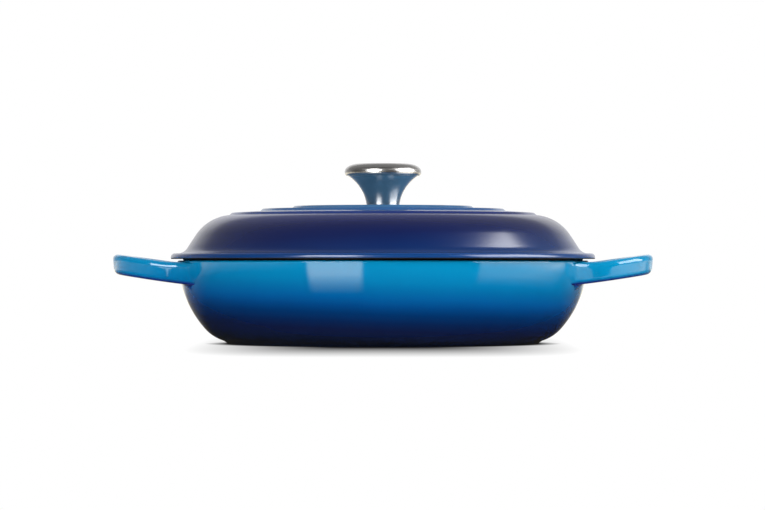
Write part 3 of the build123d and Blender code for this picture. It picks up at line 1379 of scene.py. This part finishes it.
    def set_on_lid(self, node: str, profile: Profile, steel: TurnedSteel) -> bpy.types.Object:
        """Turn a section and set it on the lid's body.

        Args:
            node: Node that the piece replaces.
            profile: Its section.
            steel: Its finish.

        Returns:
            The piece.
        """
        piece = make_piece(f"{node}_shell", [turned(profile, self.segments)], [steel.make()])
        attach(piece, "lid")
        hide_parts(node)
        return piece

    def build(self) -> None:
        """Build both pieces."""
        self.neck()
        self.cap()


@dataclass(frozen=True)
class Fixing:
    """Gasket, insert, washer and screw, which keep the meshes of the frame.

    Attributes:
        steel: Finish of the metal pieces.
        rubber: Finish of the gasket.
    """

    steel: TurnedSteel
    rubber: SpeckledEnamel

    def build(self) -> None:
        """Dress the nodes."""
        steel, rubber = self.steel.make(), self.rubber.make()
        for name, finish in (
            ("knob_gasket", rubber),
            ("knob_insert", steel),
            ("knob_washer", steel),
            ("knob_screw", steel),
        ):
            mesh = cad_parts[name].data
            mesh.materials.clear()
            mesh.materials.append(finish)


# Studio


class Role(Enum):
    """What a lamp does: it shows in the glaze, or it lights the colour."""

    SHINE = "shine"
    FILL = "fill"


@dataclass(frozen=True)
class Softbox:
    """A lamp that points at the object, or hangs upright beside it.

    Attributes:
        name: Name of the lamp.
        azimuth: Degrees from the camera's side towards +X.
        elevation: Degrees above the object.
        distance: Distance from the object in metres.
        width: Width in metres.
        height: Height in metres.
        radiance: Brightness of its face, which pi times the area turns to watts.
        role: What it does.
        upright: Whether it hangs upright.
    """

    name: str
    azimuth: float
    elevation: float
    distance: float
    width: float
    height: float
    radiance: float
    role: Role
    upright: bool = False

    def hang(self) -> bpy.types.Object:
        """Make the lamp.

        Returns:
            The lamp, linked to the scene.
        """
        lamp = bpy.data.lights.new(self.name, "AREA")
        lamp.shape = "RECTANGLE"
        lamp.size, lamp.size_y = self.width, self.height
        lamp.energy = self.radiance * math.pi * self.width * self.height
        a, e = math.radians(self.azimuth), math.radians(self.elevation)
        way = Vector((math.sin(a) * math.cos(e), -math.cos(a) * math.cos(e), math.sin(e)))
        rig = bpy.data.objects.new(self.name, lamp)
        rig.location = way * self.distance + Vector((0, 0, AIM_HEIGHT))
        rig.rotation_mode = "QUATERNION"
        face = Vector((way.x, way.y, 0)) if self.upright else way
        rig.rotation_quaternion = (-face).to_track_quat("-Z", "Y")
        rig.visible_camera = False
        rig.visible_diffuse = self.role is Role.FILL
        rig.visible_glossy = self.role is Role.SHINE
        bpy.context.scene.collection.objects.link(rig)
        return rig


@dataclass(frozen=True)
class Pool:
    """A painted pool of light on the floor beside a softbox, which only the glaze and metal mirror.

    Attributes:
        edges: Floor lines, each by two points in metres and half the width of its blur, with the
            patch on the left of each.
        near: Distances from the pan's wall over which it comes up.
        strength: Its brightness.
        far: Distances from the object's axis over which it ends, the outer one first.
        wall_radius: Distance of the pan's wall from the axis.
    """

    edges: tuple[tuple[tuple[float, float], tuple[float, float], float], ...]
    near: tuple[float, float]
    strength: float
    far: tuple[float, float] = (0.9, 0.5)
    wall_radius: float = 0.13

    def shade(
        self, tree: bpy.types.NodeTree, place: bpy.types.NodeSocket, reach: bpy.types.NodeSocket
    ) -> bpy.types.NodeSocket:
        """Add the patch's nodes.

        Args:
            tree: Tree of the floor's material.
            place: Socket of the place on the floor.
            reach: Socket of the distance from the object's axis.

        Returns:
            The socket of its brightness.
        """
        factors = []
        for (x0, y0), (x1, y1), blur in self.edges:
            way = Vector((x1 - x0, y1 - y0, 0)).normalized()
            left = Vector((-way.y, way.x, 0))
            side = add_node(tree, "ShaderNodeVectorMath", {0: place, 1: left}, operation="DOT_PRODUCT")
            at = left.dot(Vector((x0, y0, 0)))
            factors.append((side.outputs["Value"], at - blur, at + blur))
        factors.append((reach, self.wall_radius + self.near[0], self.wall_radius + self.near[1]))
        factors.append((reach, *self.far))
        total = self.strength
        for value, low, high in factors:
            part = add_node(tree, "ShaderNodeMapRange", {"Value": value, "From Min": low, "From Max": high})
            product = add_node(tree, "ShaderNodeMath", {0: part.outputs[0], 1: total}, operation="MULTIPLY")
            total = product.outputs[0]
        return total


@dataclass(frozen=True)
class Studio:
    """Pale floor and backdrop, lamps, dim room and camera, all in metres.

    Attributes:
        lamps: The lamps.
        pools: Painted pools of light on the floor, as the glaze mirrors them.
        sheet_half_width: Half the width of the floor and the backdrop.
        backdrop_distance: How far behind the object the backdrop hangs.
        backdrop_height: Its height.
        paper: Colour of the floor as it lights the object.
        shadow_paper: Dark colour of the floor inside the painted shadow, where the lamps' real shadow falls
            too.
        shadow_share: How much narrower the painted shadow is than it is long from front to back.
        shadow_fade: Distances at which the painted shadow starts to fade and ends.
        contact_fade: Distances from the axis at which the painted dark line below the base fades and ends.
        mirrored_paper: Colour of the floor in the glaze.
        mirrored_run: Distance behind the axis at which the mirrored floor is bright.
        mirrored_glow: Brightness of the mirrored floor in front and behind.
        backdrop_glow: Brightness of the backdrop as it lights the object.
        backdrop_fade: Distances from the middle over which the mirrored backdrop dims.
        backdrop_edge_glow: Brightness of the mirrored backdrop past that.
        room: Brightness of the room as it lights the object.
        mirrored_room: Brightness of the mirrored room in front, and behind and above.
        room_way: Direction in which the mirrored room is brightest.
        room_turn: How far that way a direction has to point for the full brightness.
        camera_distance: Distance of the camera from the axis.
        camera_height: Height of the camera.
        aim_height: Height of the point that it looks at.
        side_shift: How far the camera stands to the right.
        lens: Focal length in millimetres.
        sight: Distance up to which it sees.
    """

    lamps: tuple[Softbox, ...]
    pools: tuple[Pool, ...]
    sheet_half_width: float = 4.0
    backdrop_distance: float = 1.6
    backdrop_height: float = 0.9
    paper: str = "#f2f2f2"
    shadow_paper: str = "#333333"
    shadow_share: float = 0.344
    shadow_fade: tuple[float, float] = (0.04, 0.118)
    contact_fade: tuple[float, float] = (0.0985, 0.113)
    mirrored_paper: str = "#fff8e4"
    mirrored_run: float = 0.7
    mirrored_glow: tuple[float, float] = (0.02, 1.0)
    backdrop_glow: float = 0.6
    backdrop_fade: tuple[float, float] = (0.7, 1.5)
    backdrop_edge_glow: float = 0.4
    room: float = 0.18
    mirrored_room: tuple[float, float] = (0.08, 0.42)
    room_way: tuple[float, float, float] = (0.0, 0.9, 0.436)
    room_turn: float = 0.9
    camera_distance: float = 2.3
    camera_height: float = 0.050
    aim_height: float = 0.056
    side_shift: float = -0.0003
    lens: float = 171.2
    sight: float = 20.0

    def seen(self, tree: bpy.types.NodeTree) -> tuple[bpy.types.NodeSocket, bpy.types.NodeSocket]:
        """Tell what looks at a surface of the studio.

        Args:
            tree: Tree of its material.

        Returns:
            The socket that is 1 for the camera and through glass, and the one that is 1 for a mirror.
        """
        path = add_node(tree, "ShaderNodeLightPath")
        straight = {0: path.outputs["Is Camera Ray"], 1: path.outputs["Is Transmission Ray"]}
        plain = add_node(tree, "ShaderNodeMath", straight, operation="MAXIMUM")
        return plain.outputs[0], path.outputs["Is Glossy Ray"]

    def finish_sheet(self, tree: bpy.types.NodeTree, front: bpy.types.NodeSocket) -> None:
        """Make a sheet clear from behind, so that it hides nothing in other views.

        Args:
            tree: Tree of the sheet's material.
            front: Socket of the shader of its front.
        """
        clear = add_node(tree, "ShaderNodeBsdfTransparent")
        behind = add_node(tree, "ShaderNodeNewGeometry").outputs["Backfacing"]
        sides = add_node(tree, "ShaderNodeMixShader", {0: behind, 1: front, 2: clear.outputs[0]})
        add_node(tree, "ShaderNodeOutputMaterial", {"Surface": sides.outputs[0]})

    def floor(self) -> None:
        """Lay the floor: white to the camera, with a painted soft shadow on dark paper that takes the lamps'
        real shadow too.
        """
        material, tree = new_material("matt_white_card")
        seen, glossy = self.seen(tree)
        paper = add_node(tree, "ShaderNodeBsdfDiffuse", {"Color": linear(self.paper)})
        shade = add_node(tree, "ShaderNodeBsdfDiffuse", {"Color": linear(self.shadow_paper)})
        white = add_node(tree, "ShaderNodeEmission", {"Strength": 1.0})
        # To the camera the floor is dark paper inside the painted shadow and white outside it.
        lit = add_node(
            tree, "ShaderNodeMixShader", {0: self.open_floor(tree), 1: shade.outputs[0], 2: white.outputs[0]}
        )
        plain = add_node(tree, "ShaderNodeMixShader", {0: seen, 1: paper.outputs[0], 2: lit.outputs[0]})
        mirror = self.mirrored_floor(tree)
        front = add_node(tree, "ShaderNodeMixShader", {0: glossy, 1: plain.outputs[0], 2: mirror})
        self.finish_sheet(tree, front.outputs[0])
        half = self.sheet_half_width
        corners = [(-half, -half, 0), (half, -half, 0), (half, half, 0), (-half, half, 0)]
        self.sheet("floor", material, corners)

    def open_floor(self, tree: bpy.types.NodeTree) -> bpy.types.NodeSocket:
        """Tell where the floor is out of the painted shadow, which is long with rounded corners.

        Args:
            tree: Tree of the floor's material.

        Returns:
            The socket that goes from 0 in the shadow to 1 outside it.
        """
        place = add_node(tree, "ShaderNodeTexCoord").outputs["Object"]
        narrow = (1, self.shadow_share, 0)
        oval = add_node(tree, "ShaderNodeVectorMath", {0: place, 1: narrow}, operation="MULTIPLY").outputs[0]
        square = add_node(tree, "ShaderNodeVectorMath", {0: oval, 1: oval}, operation="MULTIPLY")
        fourth = add_node(tree, "ShaderNodeVectorMath", {0: square.outputs[0]}, operation="LENGTH")
        boxy = add_node(tree, "ShaderNodeMath", {0: fourth.outputs["Value"]}, operation="SQRT").outputs[0]
        radius = add_node(tree, "ShaderNodeVectorMath", {0: place}, operation="LENGTH").outputs["Value"]
        parts = {}
        for i, (away, (low, high)) in enumerate(((boxy, self.shadow_fade), (radius, self.contact_fade))):
            part = add_node(tree, "ShaderNodeMapRange", {"Value": away, "From Min": low, "From Max": high})
            parts[i] = part.outputs[0]
        return add_node(tree, "ShaderNodeMath", parts, operation="MULTIPLY").outputs[0]

    def mirrored_floor(self, tree: bpy.types.NodeTree) -> bpy.types.NodeSocket:
        """Make the floor as glaze and metal mirror it: painted bright behind, dim in front but for the
        painted pools of light.

        Args:
            tree: Tree of the floor's material.

        Returns:
            The socket of the shader.
        """
        place = add_node(tree, "ShaderNodeTexCoord").outputs["Object"]
        split = add_node(tree, "ShaderNodeSeparateXYZ", {0: place})
        reach = add_node(tree, "ShaderNodeVectorMath", {0: place}, operation="LENGTH").outputs["Value"]
        front, back = self.mirrored_glow
        total = add_node(
            tree,
            "ShaderNodeMapRange",
            {"Value": split.outputs["Y"], "From Max": self.mirrored_run, "To Min": front, "To Max": back},
        ).outputs[0]
        for pool in self.pools:
            part = pool.shade(tree, place, reach)
            total = add_node(tree, "ShaderNodeMath", {0: total, 1: part}, operation="ADD").outputs[0]
        paper = {"Color": linear(self.mirrored_paper), "Strength": total}
        glow = add_node(tree, "ShaderNodeEmission", paper)
        return glow.outputs[0]

    def glow(
        self, tree: bpy.types.NodeTree, light: float, mirrored: bpy.types.NodeSocket
    ) -> bpy.types.NodeSocket:
        """Choose the brightness of the backdrop or the room: 1, which is white, to the camera.

        Args:
            tree: Tree of its material.
            light: Brightness as it lights the object.
            mirrored: Socket of the brightness in a mirror.

        Returns:
            The socket of the brightness.
        """
        seen, glossy = self.seen(tree)
        dim = add_node(tree, "ShaderNodeMapRange", {"Value": glossy, "To Min": light, "To Max": mirrored})
        bright = {"Value": seen, "To Min": dim.outputs[0], "To Max": 1.0}
        return add_node(tree, "ShaderNodeMapRange", bright).outputs[0]

    def backdrop(self) -> None:
        """Hang the backdrop: white to the camera, and dimmer towards its ends in metal and glaze."""
        material, tree = new_material("white_paper_roll")
        place = add_node(tree, "ShaderNodeTexCoord").outputs["Object"]
        split = add_node(tree, "ShaderNodeSeparateXYZ", {0: place})
        aside = add_node(tree, "ShaderNodeMath", {0: split.outputs["X"]}, operation="ABSOLUTE")
        low, high = self.backdrop_fade
        mirrored = add_node(
            tree,
            "ShaderNodeMapRange",
            {
                "Value": aside.outputs[0],
                "From Min": low,
                "From Max": high,
                "To Min": 1.0,
                "To Max": self.backdrop_edge_glow,
            },
        )
        strength = self.glow(tree, self.backdrop_glow, mirrored.outputs[0])
        white = add_node(tree, "ShaderNodeEmission", {"Strength": strength})
        self.finish_sheet(tree, white.outputs[0])
        half, back, top = self.sheet_half_width, self.backdrop_distance, self.backdrop_height
        corners = [(-half, back, 0), (half, back, 0), (half, back, top), (-half, back, top)]
        self.sheet("backdrop", material, corners)

    def sheet(
        self, name: str, material: bpy.types.Material, corners: list[tuple[float, float, float]]
    ) -> None:
        """Add a flat sheet that isn't part of the object.

        Args:
            name: Name of the sheet.
            material: Its material.
            corners: Its corners, counter-clockwise from the front.
        """
        mesh = bpy.data.meshes.new(name)
        mesh.from_pydata(corners, [], [(0, 1, 2, 3)])
        mesh.materials.append(material)
        piece = bpy.data.objects.new(name, mesh)
        bpy.context.scene.collection.objects.link(piece)

    def light_room(self) -> None:
        """Make the room dim, paler behind and above in glaze and metal, and pale to the camera."""
        world = bpy.data.worlds.new("room")
        world.use_nodes = True
        tree = world.node_tree
        tree.nodes.clear()
        way = add_node(tree, "ShaderNodeTexCoord").outputs["Generated"]
        behind = add_node(tree, "ShaderNodeVectorMath", {0: way, 1: self.room_way}, operation="DOT_PRODUCT")
        low, high = self.mirrored_room
        mirrored = add_node(
            tree,
            "ShaderNodeMapRange",
            {"Value": behind.outputs["Value"], "From Max": self.room_turn, "To Min": low, "To Max": high},
        )
        strength = self.glow(tree, self.room, mirrored.outputs[0])
        walls = add_node(tree, "ShaderNodeBackground", {"Strength": strength})
        add_node(tree, "ShaderNodeOutputWorld", {"Surface": walls.outputs[0]})
        bpy.context.scene.world = world

    def camera(self) -> None:
        """Set the camera at the photograph's angle."""
        lens = bpy.data.cameras.new("camera")
        lens.lens = self.lens
        lens.clip_end = self.sight
        rig = bpy.data.objects.new("camera", lens)
        rig.location = (self.side_shift, -self.camera_distance, self.camera_height)
        aim = Vector((self.side_shift, 0, self.aim_height)) - rig.location
        rig.rotation_mode = "QUATERNION"
        rig.rotation_quaternion = aim.to_track_quat("-Z", "Y")
        bpy.context.scene.collection.objects.link(rig)
        bpy.context.scene.camera = rig

    def build(self) -> None:
        """Set the whole studio."""
        bpy.context.scene.view_settings.view_transform = "Standard"
        self.floor()
        self.backdrop()
        self.light_room()
        self.camera()
        for lamp in self.lamps:
            lamp.hang()


# Vitreous enamel, sprayed dark at the foot and light at the rim before it was fired: the colour
# glows brighter towards the rim, and the hard gloss mirrors the lamps with clear edges.
PAN_BLUE = OmbreEnamel(
    name="sprayed_blue_enamel_pan",
    bands=(
        (0.0, "#101c33"),
        (6.0, "#111e42"),
        (10.0, "#101c43"),
        (15.0, "#062555"),
        (20.0, "#003369"),
        (25.0, "#004684"),
        (30.0, "#005a99"),
        (35.0, "#0068a0"),
        (40.0, "#0076aa"),
        (48.0, "#0083b4"),
        (60.0, "#008bba"),
    ),
    along=Along.HEIGHT,
    painted_side_light=0.035,
)
# The same enamel on the loops, whose castings are dressed by hand: soft swells bend the mirrored
# lamps, and faces that look down are painted a darker navy as the shade below the loops.
GRIP_BLUE = replace(PAN_BLUE, name="sprayed_blue_enamel_handles", swell_height=0.1, underside="#1c2f7c")
# The same enamel sprayed in rings, darkest at the shoulder. It is fired a little less smooth, so
# the mirrored lamps have soft edges.
LID_BLUE = OmbreEnamel(
    name="sprayed_blue_enamel_lid",
    bands=(
        (0.0, "#46759a"),
        (40.0, "#3d6d96"),
        (70.0, "#2a5c8c"),
        (92.0, "#24407c"),
        (97.0, "#192a66"),
        (102.0, "#121f5c"),
        (112.0, "#101846"),
        (118.0, "#0a194b"),
        (124.0, "#08265b"),
        (130.0, "#04326a"),
        (134.0, "#023a76"),
    ),
    along=Along.RADIUS,
    painted_side_light=0.03,
    roughness=0.2,
    peel_size=1.8,
    peel_height=0.012,
)
# Glossy sand-coloured enamel, poured and fired: a warm, even lining with faint darker flecks.
SAND = SpeckledEnamel("sand_enamel_lining", "#d9cdb2", "#b9a988", 0.16, 0.4)
# Matt ground enamel, left without a gloss coat where pan and lid meet: a dull black line.
BARE_RIM = SpeckledEnamel("matt_black_enamel_rim", "#15161b", "#2c2c31", 0.55, 0.3, fleck_size=0.5)
# Moulded silicone rubber: dull black without any clear reflection.
SILICONE = SpeckledEnamel("black_silicone", "#17171a", "#232326", 0.6, 0.3, fleck_size=0.4)
# Stainless steel, spun and polished: dark and clear, it mirrors the blue lid below it.
NECK_STEEL = TurnedSteel("polished_stainless_neck", "#c4c4c4", 0.21, Along.HEIGHT)
# Stainless steel, pressed and left satin: its highlights have broad, soft ends.
CAP_STEEL = TurnedSteel("satin_stainless_cap", "#bab8b6", 0.26, Along.RADIUS)
# Stainless steel as the lathe leaves it: greyer, with a dull shine.
FIXING_STEEL = TurnedSteel("turned_stainless_fixing", "#b0b0b0", 0.3, Along.RADIUS)
# Two softboxes that show in the glaze, and four lamps that only light the colour.
LAMPS = (
    Softbox("left_softbox", -27.8, 26.0, 1.64, 0.85, 1.05, 12.5, Role.SHINE, upright=True),
    Softbox("right_softbox", 77.5, 31.5, 1.73, 1.52, 1.55, 9.5, Role.SHINE, upright=True),
    Softbox("front_key", 20, 26, 1.8, 1.4, 1.0, 1.8, Role.FILL),
    Softbox("front_fill", -32, 16, 1.8, 1.4, 0.8, 4.9, Role.FILL),
    Softbox("right_fill", 66, 36, 1.8, 1.2, 0.9, 6.0, Role.FILL),
    Softbox("top_light", 180, 48, 1.7, 1.8, 1.1, 3.4, Role.FILL),
)
# Edges of the painted pools of light on the floor: beside each of the two softboxes, and across the front.
LEFT_EDGES = (
    ((-0.081, -0.158), (-0.280, -0.377), 0.004),
    ((-0.0806, -0.473), (-0.0245, -0.178), 0.004),
)
RIGHT_EDGES = (
    ((0.101, -0.144), (0.347, -0.316), 0.004),
    ((0.508, 0.156), (0.108, -0.144), 0.046),
)
WIDE_EDGES = (((-0.5, -0.5), (0.0, 0.0), 0.06),)
POOLS = (
    Pool(LEFT_EDGES, (0.035, 0.125), 4.6),
    Pool(RIGHT_EDGES, (0.06, 0.125), 1.3),
    Pool(RIGHT_EDGES, (0.2, 0.4), 1.3, far=(1.7, 1.1)),
    Pool(WIDE_EDGES, (0.17, 0.45), 0.7, far=(1.7, 1.1)),
)


def main() -> None:
    """Build the braiser and its studio."""
    logging.basicConfig(level=logging.INFO, format="%(message)s")
    wall = PanWall()
    PanCasting(wall, PAN_BLUE, SAND, BARE_RIM, GRIP_BLUE).build()
    log.info("pan casting with two loop handles")
    LidCasting(LID_BLUE, SAND, BARE_RIM).build()
    log.info("lid casting")
    Knob(NECK_STEEL, CAP_STEEL).build()
    log.info("knob neck and cap")
    Fixing(FIXING_STEEL, SILICONE).build()
    log.info("gasket, insert, washer and screw")
    Studio(LAMPS, POOLS).build()
    log.info("studio")


if __name__ == "__main__":
    main()
